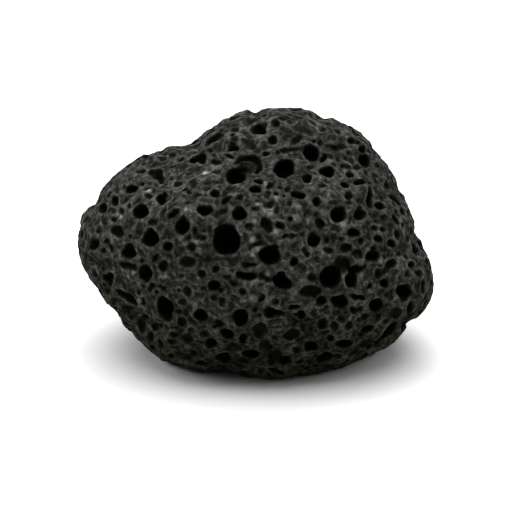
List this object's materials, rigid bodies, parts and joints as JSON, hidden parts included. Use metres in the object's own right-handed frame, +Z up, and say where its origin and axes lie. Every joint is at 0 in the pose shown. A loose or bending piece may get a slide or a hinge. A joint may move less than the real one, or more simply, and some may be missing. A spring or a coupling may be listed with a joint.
{
  "type": "lava rock",
  "caption": "Tumbled lump of dark vesicular basalt, rounded on every side, pitted with open gas bubbles, with one worn flat face that it rests on.",
  "frame": {"origin": "centre of the rock's outline at the level of the flat face that it rests on", "axes": "+X to the right along the rock's length as seen from its show face, +Y away from that view, +Z up from the resting face"},
  "size_m": [0.0795, 0.0602, 0.0545],
  "materials": {
    "basalt": "dark charcoal, matt and rough, with black bubble hollows and worn grey rims"
  },
  "bodies": {
    "root": {"lava_rock": "basalt"}
  },
  "joints": []
}
